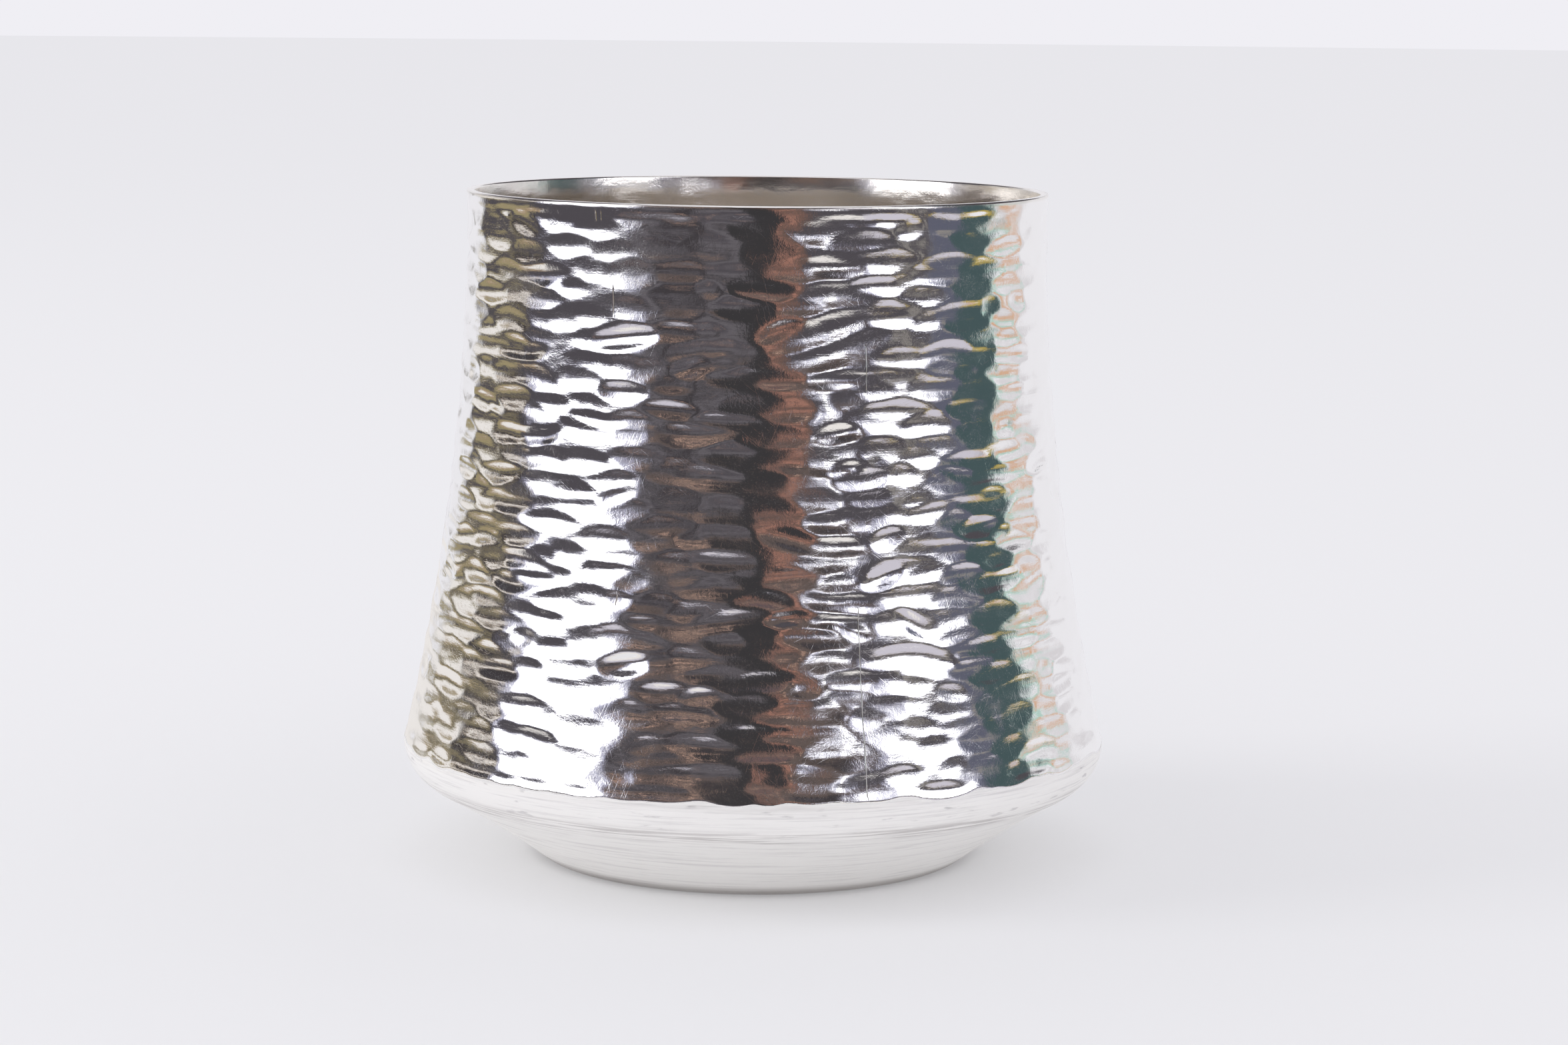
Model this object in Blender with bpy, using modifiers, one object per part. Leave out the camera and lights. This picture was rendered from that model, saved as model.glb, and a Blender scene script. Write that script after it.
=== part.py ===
"""A hammered silver beaker: a flaring wall over a low rounded bowl, raised from one sheet of silver.

Metres, +Z up. The origin is the centre of the underside, on the surface that the beaker stands on.
"""
import math

import bmesh
import bpy
import numpy as np

MM = 0.001

# Sizes of the vessel, outside unless a line says otherwise
HEIGHT = 82.0 * MM
RIM_RADIUS = 35.5 * MM
SHOULDER_RADIUS = 43.4 * MM
SHOULDER_HEIGHT = 14.5 * MM
SHOULDER_ROUND = 5.9 * MM
FOOT_RADIUS = 26.4 * MM
FOOT_ROUND = 2.0 * MM
FLANK_HOLLOW = 0.4 * MM
WALL = 1.0 * MM

# The hammer marks: long shallow hollows lying level, in staggered rows that share their ridges
PLAIN_LIP = 1.1 * MM
MARK_LENGTH = 8.2 * MM
MARK_HEIGHT = 2.4 * MM
MARK_DEPTH = 0.2 * MM
DEPTH_SPREAD = 0.35
STEP_SPREAD = 0.2
ROW_SPREAD = 0.18
SHOULDER_WAVE = 0.2 * MM
HAMMER_SEED = 7

# How finely the round stretches are cut
LIP_PARTS = 4
SHOULDER_PARTS = 5
FLANK_PARTS = 3
FOOT_PARTS = 2
INSIDE_WALL_PARTS = 5
INSIDE_SHOULDER_PARTS = 3
INSIDE_FLANK_PARTS = 2
WELD = 0.001 * MM

SILVER_COLOUR = (0.93, 0.92, 0.90, 1.0)
SILVER_ROUGHNESS = 0.12


def columns_round():
    """Vertices in one turn: two for each hammer mark, its middle and the tip it shares with the next."""
    mean_radius = (RIM_RADIUS + SHOULDER_RADIUS) / 2
    return 2 * max(8, round(2 * math.pi * mean_radius / MARK_LENGTH))


def hammered_rows():
    """Rings of the hammered band; neighbouring rows overlap by half a mark's height."""
    band = HEIGHT - PLAIN_LIP - SHOULDER_HEIGHT
    return max(4, round(2 * band / MARK_HEIGHT))


def wall_radius(z):
    """Outside radius of the wall: upright at the rim and flaring ever more towards the shoulder."""
    down = (HEIGHT - z) / (HEIGHT - SHOULDER_HEIGHT)
    return RIM_RADIUS + (SHOULDER_RADIUS - RIM_RADIUS) * down * down


def wall_line(top, parts):
    """Points (radius, height) down the outside of the wall, from the height top to the shoulder."""
    heights = np.linspace(top, SHOULDER_HEIGHT, parts + 1)
    return [(wall_radius(z), z) for z in heights]


def bowl_line(round_parts, flank_parts):
    """Points down the outside of the bowl: round under the shoulder, then a flank to the foot's sharp corner."""
    centre = np.array([SHOULDER_RADIUS - SHOULDER_ROUND, SHOULDER_HEIGHT])
    foot = np.array([FOOT_RADIUS, 0.0])
    away = foot - centre
    reach = float(np.linalg.norm(away))
    last = math.atan2(away[1], away[0]) + math.acos(SHOULDER_ROUND / reach)
    angles = np.linspace(0.0, last, round_parts + 1)
    line = [tuple(centre + SHOULDER_ROUND * np.array([math.cos(a), math.sin(a)])) for a in angles]
    start = np.array(line[-1])
    inwards = -np.array([math.cos(last), math.sin(last)])
    for t in np.linspace(0.0, 1.0, flank_parts + 1)[1:]:
        line.append(tuple(start + (foot - start) * t + inwards * 4 * t * (1 - t) * FLANK_HOLLOW))
    return line


def rounded_foot(line):
    """The bowl's line with its last corner rounded into the flat underside."""
    corner = np.array(line[-1])
    along = np.array(line[-2]) - corner
    reach = float(np.linalg.norm(along))
    along = along / reach
    turn = math.pi - math.atan2(along[1], along[0])
    radius = min(FOOT_ROUND, 0.8 * reach / math.tan((math.pi - turn) / 2))
    cut = radius * math.tan((math.pi - turn) / 2)
    centre = corner + (-cut, radius)
    start = math.atan2(*reversed(corner + along * cut - centre))
    arc = []
    for angle in np.linspace(start, -math.pi / 2, FOOT_PARTS + 1):
        arc.append((centre[0] + radius * math.cos(angle), centre[1] + radius * math.sin(angle)))
    return line[:-1] + arc


def offset_inwards(line, distance):
    """The line moved square to itself by distance, towards the inside of the vessel, with its corners kept."""
    points = np.array(line)
    steps = np.diff(points, axis=0)
    steps /= np.linalg.norm(steps, axis=1)[:, None]
    normals = np.stack([steps[:, 1], -steps[:, 0]], axis=1)
    before = np.vstack([normals[:1], normals])
    after = np.vstack([normals, normals[-1:]])
    bisectors = before + after
    bisectors /= np.linalg.norm(bisectors, axis=1)[:, None]
    lengths = distance / np.sum(bisectors * after, axis=1)
    return [tuple(p) for p in points + bisectors * lengths[:, None]]


def lip_line():
    """The half-round lip, from inside the rim over the top to the outside."""
    half = WALL / 2
    middle = RIM_RADIUS - half
    angles = np.linspace(math.pi, 0.0, LIP_PARTS + 1)
    return [(middle + half * math.cos(a), HEIGHT - half + half * math.sin(a)) for a in angles]


def inside_line():
    """Points of the inside, from the middle of its floor up to just below the lip."""
    bowl = bowl_line(INSIDE_SHOULDER_PARTS, INSIDE_FLANK_PARTS)
    outside = wall_line(HEIGHT, INSIDE_WALL_PARTS)[1:-1] + bowl + [(0.0, 0.0)]
    inside = offset_inwards(outside, WALL)
    inside[-1] = (0.0, WALL)
    return inside[::-1]


def vessel_line():
    """The whole section at +X: up the inside, over the lip, down the outside, to the middle underneath."""
    hammered = wall_line(HEIGHT - PLAIN_LIP, hammered_rows())
    bowl = rounded_foot(bowl_line(SHOULDER_PARTS, FLANK_PARTS))
    return inside_line() + lip_line() + hammered + bowl[1:] + [(0.0, 0.0)]


def turned_blank(line):
    """Turns the section about Z into a closed smooth vessel, and returns its mesh."""
    mesh = bpy.data.meshes.new("beaker_section")
    points = [(r, 0.0, z) for r, z in line]
    mesh.from_pydata(points, [(i, i + 1) for i in range(len(points) - 1)], [])
    section = bpy.data.objects.new("beaker_section", mesh)
    bpy.context.scene.collection.objects.link(section)
    screw = section.modifiers.new("turn", "SCREW")
    screw.axis = "Z"
    screw.steps = columns_round()
    screw.render_steps = columns_round()
    screw.use_merge_vertices = True
    screw.merge_threshold = WELD
    bpy.context.view_layer.update()
    blank = bpy.data.meshes.new_from_object(section.evaluated_get(bpy.context.evaluated_depsgraph_get()))
    bpy.data.objects.remove(section)
    return blank


def hammered_place(vertex):
    """Row and column of a vertex of the hammered band, or None for any other vertex."""
    x, y, z = vertex.co
    radius = math.hypot(x, y)
    if z > HEIGHT - PLAIN_LIP + WELD or z < SHOULDER_HEIGHT - WELD:
        return None
    if abs(radius - wall_radius(z)) > WALL / 2:
        return None
    row_step = (HEIGHT - PLAIN_LIP - SHOULDER_HEIGHT) / hammered_rows()
    column_step = 2 * math.pi / columns_round()
    row = round((HEIGHT - PLAIN_LIP - z) / row_step)
    column = round(math.atan2(y, x) / column_step) % columns_round()
    return row, column


def split_along_ridges(body, places):
    """Cuts each face of the hammered band from ridge to ridge, so that a mark is a hollow with four sides."""
    for face in list(body.faces):
        ridges = [v for v in face.verts if v in places and sum(places[v]) % 2]
        if len(face.verts) == 4 and len(ridges) == 2 and all(v in places for v in face.verts):
            bmesh.utils.face_split(face, ridges[0], ridges[1])


def press_marks(places):
    """Presses the middle of each mark into the wall and shifts the vertices so that no two marks are alike."""
    rows, columns = hammered_rows(), columns_round()
    chance = np.random.default_rng(HAMMER_SEED)
    shift_round = chance.uniform(-STEP_SPREAD, STEP_SPREAD, (rows + 1, columns))
    shift_down = chance.uniform(-ROW_SPREAD, ROW_SPREAD, (rows + 1, columns))
    depth = MARK_DEPTH * (1 + chance.uniform(-DEPTH_SPREAD, DEPTH_SPREAD, (rows + 1, columns)))
    row_step = (HEIGHT - PLAIN_LIP - SHOULDER_HEIGHT) / rows
    column_step = 2 * math.pi / columns
    for vertex, (row, column) in places.items():
        if row == 0:
            continue
        angle = column * column_step
        z = HEIGHT - PLAIN_LIP - row * row_step
        pressed = 0.0
        if row == rows:
            z += SHOULDER_WAVE * shift_down[row, column] / ROW_SPREAD
            radius = SHOULDER_RADIUS
        else:
            angle += shift_round[row, column] * column_step
            z += shift_down[row, column] * row_step
            pressed = 0.0 if (row + column) % 2 else depth[row, column]
            radius = wall_radius(z) - pressed
        vertex.co = (radius * math.cos(angle), radius * math.sin(angle), z)


def silver():
    """Polished silver."""
    material = bpy.data.materials.new("silver")
    material.use_nodes = True
    shader = material.node_tree.nodes["Principled BSDF"]
    shader.inputs["Base Color"].default_value = SILVER_COLOUR
    shader.inputs["Metallic"].default_value = 1.0
    shader.inputs["Roughness"].default_value = SILVER_ROUGHNESS
    return material


def make_beaker(collection):
    """Turns, hammers and shades the beaker."""
    mesh = turned_blank(vessel_line())
    mesh.name = "beaker"
    body = bmesh.new()
    body.from_mesh(mesh)
    bmesh.ops.remove_doubles(body, verts=body.verts, dist=WELD)
    places = {v: hammered_place(v) for v in body.verts}
    places = {v: place for v, place in places.items() if place is not None}
    split_along_ridges(body, places)
    press_marks(places)
    body.to_mesh(mesh)
    body.free()
    mesh.materials.append(silver())
    mesh.shade_smooth()
    beaker = bpy.data.objects.new("beaker", mesh)
    collection.objects.link(beaker)
    return beaker


def main():
    for old in list(bpy.data.objects):
        bpy.data.objects.remove(old)
    collection = bpy.data.collections.new("silver_beaker")
    bpy.context.scene.collection.children.link(collection)
    make_beaker(collection)


main()
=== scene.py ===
"""Looks of the hammered silver beaker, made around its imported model, with a plain studio to see it in.

Metres, +Z up. The beaker stands on the floor at the origin, and the camera looks along +Y.
Bearings round the beaker are measured from the side that faces the camera, positive to the camera's right.
"""

import logging
import math
from dataclasses import dataclass, field
from enum import Enum
from typing import Any

import bpy
import numpy as np
from mathutils import Matrix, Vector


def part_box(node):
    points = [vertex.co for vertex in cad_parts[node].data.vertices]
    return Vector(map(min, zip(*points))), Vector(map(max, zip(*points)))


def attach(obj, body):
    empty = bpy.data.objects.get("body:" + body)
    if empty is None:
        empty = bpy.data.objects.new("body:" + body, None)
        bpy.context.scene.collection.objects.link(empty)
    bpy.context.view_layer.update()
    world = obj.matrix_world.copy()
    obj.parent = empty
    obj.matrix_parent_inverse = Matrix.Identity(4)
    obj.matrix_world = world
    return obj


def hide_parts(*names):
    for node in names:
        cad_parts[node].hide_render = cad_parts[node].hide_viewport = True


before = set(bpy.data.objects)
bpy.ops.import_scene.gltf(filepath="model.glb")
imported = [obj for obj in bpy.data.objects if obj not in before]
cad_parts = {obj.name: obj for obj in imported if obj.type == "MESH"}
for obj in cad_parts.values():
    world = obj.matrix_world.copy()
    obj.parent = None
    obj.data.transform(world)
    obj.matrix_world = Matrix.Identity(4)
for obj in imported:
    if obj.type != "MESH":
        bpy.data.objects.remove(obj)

MM = 0.001
UV_NAME = "OFBake"
UV_EDGE = 0.004
GLOSSY_BOUNCES = 12
LUMP_SHAPE = 0.4
LUMP_EDGE = 0.05
LOG = logging.getLogger("beaker")

Colour = tuple[float, float, float]
Line = list[tuple[float, float]]


class Zone(Enum):
    """The zones of the silver skin, by the number that rings() gives them."""

    INSIDE = 0
    WALL = 1
    BOWL = 2


class Seen(Enum):
    """Which rays see a thing of the studio."""

    BY_ALL = "all"
    IN_SILVER = "silver"


@dataclass(frozen=True)
class Value:
    """A number that varies over a surface: a socket whose sums and products add Math nodes."""

    nodes: "Nodes"
    socket: bpy.types.NodeSocket

    def __add__(self, other: "Value | float") -> "Value":
        """This plus the other."""
        return self.nodes.maths("ADD", self, other)

    def __radd__(self, other: float) -> "Value":
        """The other plus this."""
        return self.nodes.maths("ADD", other, self)

    def __sub__(self, other: "Value | float") -> "Value":
        """This less the other."""
        return self.nodes.maths("SUBTRACT", self, other)

    def __rsub__(self, other: float) -> "Value":
        """The other less this."""
        return self.nodes.maths("SUBTRACT", other, self)

    def __mul__(self, other: "Value | float") -> "Value":
        """This times the other."""
        return self.nodes.maths("MULTIPLY", self, other)

    def __rmul__(self, other: float) -> "Value":
        """The other times this."""
        return self.nodes.maths("MULTIPLY", other, self)

    def size(self) -> "Value":
        """This without its sign."""
        return self.nodes.maths("ABSOLUTE", self)

    def root(self) -> "Value":
        """The square root of this."""
        return self.nodes.maths("SQRT", self)

    def degrees_over(self, base: "Value") -> "Value":
        """The angle, in degrees, whose tangent is this over the base."""
        return self.nodes.maths("ARCTAN2", self, base) * math.degrees(1.0)

    def step_up(self, low: float, high: float) -> "Value":
        """A smooth step, 0 below low and 1 above high.

        Args:
            low: where the step starts.
            high: where the step ends; less than low for a step down.

        Returns:
            The step's height, from 0 to 1.
        """
        settings = {"interpolation_type": "SMOOTHSTEP"}
        inputs = {"Value": self, "From Min": low, "From Max": high}
        return Value(self.nodes, self.nodes.add("ShaderNodeMapRange", settings, inputs).outputs["Result"])


class Nodes:
    """The node tree of one material or of the world."""

    def __init__(self, tree: bpy.types.NodeTree) -> None:
        """Takes the tree and empties it."""
        self.tree = tree
        self.tree.nodes.clear()

    def feed(self, socket: bpy.types.NodeSocket, value: Any) -> None:
        """Links an input to a value's socket, or sets it to a plain number, colour or vector.

        Args:
            socket: the input.
            value: a Value, a socket or plain data.
        """
        source = value.socket if isinstance(value, Value) else value
        if isinstance(source, bpy.types.NodeSocket):
            self.tree.links.new(source, socket)
        elif socket.type == "RGBA" and len(source) == 3:
            socket.default_value = (*source, 1.0)
        else:
            socket.default_value = source

    def add(self, kind: str, settings: dict[str, Any] | None = None,
            inputs: dict[str | int, Any] | None = None) -> bpy.types.Node:
        """Adds one node of any kind.

        Args:
            kind: the node's type.
            settings: its own settings, which are set first; "stops" are a ramp's (place, colour) pairs.
            inputs: values or links of its input sockets, by name or number.

        Returns:
            The node.
        """
        node = self.tree.nodes.new(kind)
        for name, setting in (settings or {}).items():
            if name == "stops":
                while len(node.color_ramp.elements) < len(setting):
                    node.color_ramp.elements.new(0.5)
                for element, (place, colour) in zip(node.color_ramp.elements, setting):
                    element.position = place
                    element.color = (*colour, 1.0)
            else:
                setattr(node, name, setting)
        for key, value in (inputs or {}).items():
            self.feed(node.inputs[key], value)
        return node

    def maths(self, operation: str, *values: "Value | float") -> Value:
        """One Math node.

        Args:
            operation: the node's operation.
            values: its inputs in order.

        Returns:
            The result.
        """
        node = self.add("ShaderNodeMath", {"operation": operation}, dict(enumerate(values)))
        return Value(self, node.outputs[0])

    def place(self) -> bpy.types.NodeSocket:
        """Where a point is on the object, in metres."""
        return self.add("ShaderNodeTexCoord").outputs["Object"]

    def axis(self, name: str) -> Value:
        """One coordinate of the point on the object, in metres, by its letter."""
        parts = self.add("ShaderNodeSeparateXYZ", None, {"Vector": self.place()})
        return Value(self, parts.outputs[name])

    def attribute(self, name: str) -> Value:
        """A number that the mesh keeps at each vertex."""
        return Value(self, self.add("ShaderNodeAttribute", {"attribute_name": name}).outputs["Fac"])

    def noise(self, per_unit: tuple[float, float, float], detail: float = 2.0, roughness: float = 0.5,
              lean: float = 0.0, place: bpy.types.NodeSocket | None = None) -> Value:
        """Smooth noise from 0 to 1.

        Args:
            per_unit: how many lumps a metre holds along X, Y and Z, or a unit of the place that is given.
            detail: how many finer layers it has.
            roughness: how strong the finer layers are.
            lean: how far its grain leans, in degrees seen from the front.
            place: a vector to take in place of where the point is on the object.

        Returns:
            The noise.
        """
        place = place or self.place()
        if lean:
            inputs = {"Vector": place, "Axis": (0.0, 1.0, 0.0), "Angle": math.radians(lean)}
            place = self.add("ShaderNodeVectorRotate", {"rotation_type": "AXIS_ANGLE"}, inputs).outputs[0]
        scaled = self.add("ShaderNodeVectorMath", {"operation": "MULTIPLY"}, {0: place, 1: per_unit})
        inputs = {"Vector": scaled.outputs[0], "Scale": 1.0, "Detail": detail, "Roughness": roughness}
        return Value(self, self.add("ShaderNodeTexNoise", None, inputs).outputs[0])

    def mix(self, share: Value, first: Any, second: Any) -> bpy.types.NodeSocket:
        """Goes from one colour to another.

        Args:
            share: 0 for the first colour and 1 for the second.
            first: a colour or a socket.
            second: a colour or a socket.

        Returns:
            The socket of the colour.
        """
        node = self.add("ShaderNodeMix", {"data_type": "RGBA"}, {0: share, 6: first, 7: second})
        return node.outputs[2]


@dataclass(frozen=True)
class BeakerForm:
    """The beaker's section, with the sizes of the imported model."""

    height: float
    shoulder_radius: float
    rim_radius: float = 35.5 * MM
    shoulder_height: float = 14.5 * MM
    shoulder_round: float = 5.9 * MM
    foot_radius: float = 26.4 * MM
    foot_round: float = 2.0 * MM
    flank_hollow: float = 0.4 * MM
    wall: float = 1.0 * MM
    lip_round: float = 0.24 * MM
    under_lip: tuple[float, ...] = (2.6 * MM,)

    def wall_radius(self, z: np.ndarray) -> np.ndarray:
        """Outside radius of the wall at heights z, before the hammer marks."""
        down = (self.height - z) / (self.height - self.shoulder_height)
        return self.rim_radius + (self.shoulder_radius - self.rim_radius) * down * down

    def bowl_line(self, round_parts: int, flank_parts: int) -> Line:
        """Points down the outside of the bowl.

        Args:
            round_parts: steps of the round stretch under the shoulder.
            flank_parts: steps of the flank below it.

        Returns:
            Points (radius, height) from the shoulder to the foot's sharp corner.
        """
        centre = np.array([self.shoulder_radius - self.shoulder_round, self.shoulder_height])
        foot = np.array([self.foot_radius, 0.0])
        away = foot - centre
        last = math.atan2(away[1], away[0]) + math.acos(self.shoulder_round / float(np.linalg.norm(away)))
        turns = np.linspace(0.0, last, round_parts + 1)
        line = [tuple(centre + self.shoulder_round * np.array([math.cos(a), math.sin(a)])) for a in turns]
        start = np.array(line[-1])
        inwards = -np.array([math.cos(last), math.sin(last)])
        for t in np.linspace(0.0, 1.0, flank_parts + 1)[1:]:
            line.append(tuple(start + (foot - start) * t + inwards * 4 * t * (1 - t) * self.flank_hollow))
        return line

    def rounded_foot(self, line: Line, parts: int) -> Line:
        """Rounds the last corner of the bowl's line into the flat underside.

        Args:
            line: the bowl's line.
            parts: steps of the round edge.

        Returns:
            The line, ending on the underside.
        """
        corner = np.array(line[-1])
        along = np.array(line[-2]) - corner
        along /= np.linalg.norm(along)
        half = math.atan2(along[1], along[0]) / 2
        cut = self.foot_round * math.tan(half)
        centre = corner + (-cut, self.foot_round)
        start = math.atan2(*reversed(corner + along * cut - centre))
        turns = np.linspace(start, -math.pi / 2, parts + 1)
        kept = [p for p in line[:-1] if np.linalg.norm(np.array(p) - corner) > cut * 1.05]
        return kept + [tuple(centre + self.foot_round * np.array([math.cos(a), math.sin(a)])) for a in turns]

    def lip_line(self, parts: int) -> Line:
        """The rounded lip, from inside the rim over the top to the outside."""
        line = []
        for middle, first in ((self.rim_radius - self.wall + self.lip_round, math.pi),
                              (self.rim_radius - self.lip_round, math.pi / 2)):
            for turn in np.linspace(first, first - math.pi / 2, parts + 1):
                z = self.height - self.lip_round + self.lip_round * math.sin(turn)
                line.append((middle + self.lip_round * math.cos(turn), z))
        return line

    def inside_line(self, wall_parts: int, round_parts: int, flank_parts: int) -> Line:
        """Points of the smooth inside, from its floor up to just below the lip.

        Args:
            wall_parts: steps of the wall.
            round_parts: steps of the round stretch.
            flank_parts: steps of the flank.

        Returns:
            Points (radius, height), the first of them next to the middle of the floor.
        """
        heights = np.linspace(self.height, self.shoulder_height, wall_parts + 1)[1:-1]
        heights = np.concatenate([self.height - np.array(self.under_lip), heights])
        line = [(float(self.wall_radius(z)), z) for z in heights]
        line += self.bowl_line(round_parts, flank_parts) + [(self.foot_radius * 0.4, 0.0)]
        points = np.array(line)
        steps = np.diff(points, axis=0)
        steps /= np.linalg.norm(steps, axis=1)[:, None]
        normals = np.stack([steps[:, 1], -steps[:, 0]], axis=1)
        before = np.vstack([normals[:1], normals])
        after = np.vstack([normals, normals[-1:]])
        bisectors = before + after
        bisectors /= np.linalg.norm(bisectors, axis=1)[:, None]
        lengths = self.wall / np.sum(bisectors * after, axis=1)
        inside = points + bisectors * lengths[:, None]
        return [tuple(p) for p in inside[::-1]]


@dataclass(frozen=True)
class HammerMark:
    """One blow of the cross peen: a shallow trough, long round the beaker and narrow up and down it."""

    bearing: float
    height: float
    tilt: float
    bend: float
    long_radius: float
    cross_radius: float
    depth: float

    def hollow(self, along: np.ndarray, up: np.ndarray) -> np.ndarray:
        """How deep the trough goes.

        Args:
            along: distances round the beaker from the middle of the mark.
            up: heights above the middle of the mark.

        Returns:
            Depths below the blank's surface, negative where the trough is above it.
        """
        u = along * math.cos(self.tilt) + up * math.sin(self.tilt)
        v = up * math.cos(self.tilt) - along * math.sin(self.tilt) - self.bend * u * u
        return self.depth - u * u / (2 * self.long_radius) - v * v / (2 * self.cross_radius)


@dataclass(frozen=True)
class Slip:
    """Where the hammer slipped: long marks, one under the other, that climb to the right, in degrees."""

    count: int = 2
    bearing: float = 12.6
    bearing_step: float = 1.5
    height: float = 67.6 * MM
    drop: float = 2.3 * MM
    tilt: float = 17.0
    bend: float = 8.0
    long_radius: float = 95.0 * MM
    cross_radius: float = 8.0 * MM
    depth: float = 0.30 * MM

    def mark(self, step: int) -> HammerMark:
        """One of the marks, counted from the upper one down."""
        bearing = math.radians(self.bearing + self.bearing_step * step)
        height = self.height - self.drop * step
        return HammerMark(bearing, height, math.radians(self.tilt), self.bend, self.long_radius,
                          self.cross_radius, self.depth)


@dataclass
class HammerWork:
    """The hammered surface of the wall: rows of overlapping marks that meet in soft ridges.

    A stray mark is a shorter one that turns and bends more. The calm places have flatter marks: close under
    the lip, on an oval patch there, and low down but for the lively stretch in front. Turns in degrees.
    """

    form: BeakerForm
    row_pitch: float = 2.2 * MM
    mark_spacing: float = 6.6 * MM
    low_spacing: float = 5.2 * MM
    long_radius: float = 50.0 * MM
    cross_radius: float = 5.2 * MM
    radius_spread: float = 0.32
    ridge_depth: float = 0.07 * MM
    depth_spread: float = 0.03 * MM
    height_spread: float = 0.38
    tilt_spread: float = 0.05
    bend_spread: float = 13.0
    place_spread: float = 0.3
    stray_share: float = 0.20
    stray_tilt: float = 3.0
    stray_bend: float = 2.0
    stray_long: float = 0.35
    stray_cross: float = 0.7
    ridge_softness: float = 0.012 * MM
    ridge_reach: float = 0.1 * MM
    row_margin: float = 0.8 * MM
    swell: float = 0.16 * MM
    swell_length: float = 19.0 * MM
    swell_waves: int = 9
    swell_turns: tuple[float, float] = (0.5, 1.4)
    swell_climb: float = 1.3
    plain_lip: float = 0.7 * MM
    calm_lip: float = 5.0 * MM
    calm_low: float = 36.0 * MM
    calm_low_limit: float = 0.85
    calm_aside: float = 16.0
    calm_radius: float = 1.9
    lively_bearing: float = -3.0
    patch_bearing: float = -19.0
    patch_half: float = 19.0
    patch_height: float = 76.5 * MM
    patch_reach: float = 5.0 * MM
    patch_edge: float = 1.3
    slip: Slip = Slip()
    seed: int = 23
    marks: list[HammerMark] = field(default_factory=list)

    def strike(self) -> None:
        """Chooses the marks: staggered rows, with every place, turn and depth a little off."""
        chance = np.random.default_rng(self.seed)
        form = self.form
        low = form.shoulder_height - self.row_pitch
        rows = round((form.height - low) / self.row_pitch)
        for row in range(rows + 1):
            middle = form.height - self.plain_lip - row * self.row_pitch
            radius = float(form.wall_radius(max(middle, form.shoulder_height)))
            spacing = self.low_spacing + (self.mark_spacing - self.low_spacing) * (rows - row) / rows
            count = round(math.tau * radius / spacing)
            start = chance.uniform(0, math.tau)
            for place in range(count):
                aside = chance.uniform(-self.place_spread, self.place_spread)
                bearing = start + (place + aside) * math.tau / count
                height = middle + chance.normal(0, self.height_spread) * self.row_pitch
                self.marks.append(self.mark(chance, bearing, height))
        self.marks += [self.slip.mark(step) for step in range(self.slip.count)]

    def calm(self, bearing: float, height: float) -> float:
        """How flat the marks are at a place.

        Args:
            bearing: where it is round the beaker.
            height: where it is up the wall.

        Returns:
            0 where the marks are at their liveliest, to 1 where they are flattest.
        """
        form = self.form
        lip = 1.0 - (form.height - height) / (self.calm_lip + self.row_pitch)
        off = math.remainder(bearing - math.radians(self.patch_bearing), math.tau)
        off /= math.radians(self.patch_half)
        patch = self.patch_edge - math.hypot(off, (height - self.patch_height) / self.patch_reach)
        away = abs(math.remainder(bearing - math.radians(self.lively_bearing), math.tau))
        aside = min(max(2 * away / math.radians(self.calm_aside) - 1, 0.0), self.calm_low_limit)
        low = (self.calm_low - height) / (self.calm_low - form.shoulder_height) * aside
        return min(1.0, max(lip, patch, low, 0.0))

    def mark(self, chance: np.random.Generator, bearing: float, height: float) -> HammerMark:
        """One mark at a place.

        Args:
            chance: the source of what varies.
            bearing: where its middle is round the beaker.
            height: where its middle is up the wall.

        Returns:
            The mark.
        """
        stray = chance.random() < self.stray_share
        tilt = chance.normal(0, self.tilt_spread) * (self.stray_tilt if stray else 1)
        bend = chance.normal(0, self.bend_spread) * (self.stray_bend if stray else 1)
        long_radius = self.long_radius * math.exp(chance.normal(0, self.radius_spread))
        long_radius *= self.stray_long if stray else 1
        cross_radius = self.cross_radius * math.exp(chance.normal(0, self.radius_spread))
        cross_radius *= self.stray_cross if stray else 1
        cross_radius *= 1 + (self.calm_radius - 1) * self.calm(bearing, height)
        depth = self.ridge_depth + (self.row_pitch / 2) ** 2 / (2 * cross_radius)
        depth += chance.normal(0, self.depth_spread) * self.cross_radius / cross_radius
        return HammerMark(bearing, height, tilt, bend, long_radius, cross_radius, depth)

    def pressed(self, bearings: np.ndarray, heights: np.ndarray) -> np.ndarray:
        """How far the marks press the wall in.

        Args:
            bearings: bearing of each column.
            heights: height of each vertex, by row and column.

        Returns:
            Depths by row and column, none of them negative.
        """
        rows, columns = heights.shape
        total = np.full((rows, columns), 1.0)
        radii = self.form.wall_radius(heights)
        step = math.tau / columns
        mean = heights.mean(axis=1)
        for mark in self.marks:
            deep = mark.depth + self.ridge_reach
            reach = math.sqrt(2 * mark.long_radius * deep) / float(radii.mean())
            span = math.sqrt(2 * mark.cross_radius * deep) + self.row_margin
            near = np.nonzero(np.abs(mean - mark.height) < span)[0]
            if not len(near):
                continue
            first = math.floor((mark.bearing - reach - bearings[0]) / step)
            across = np.arange(first, first + math.ceil(2 * reach / step) + 2)
            turned = bearings[0] + across * step - mark.bearing
            window = np.ix_(near, across % columns)
            hollow = mark.hollow(turned[None, :] * radii[window], heights[window] - mark.height)
            total[window] += np.exp(hollow / self.ridge_softness)
        return self.ridge_softness * np.log(total)

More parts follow.
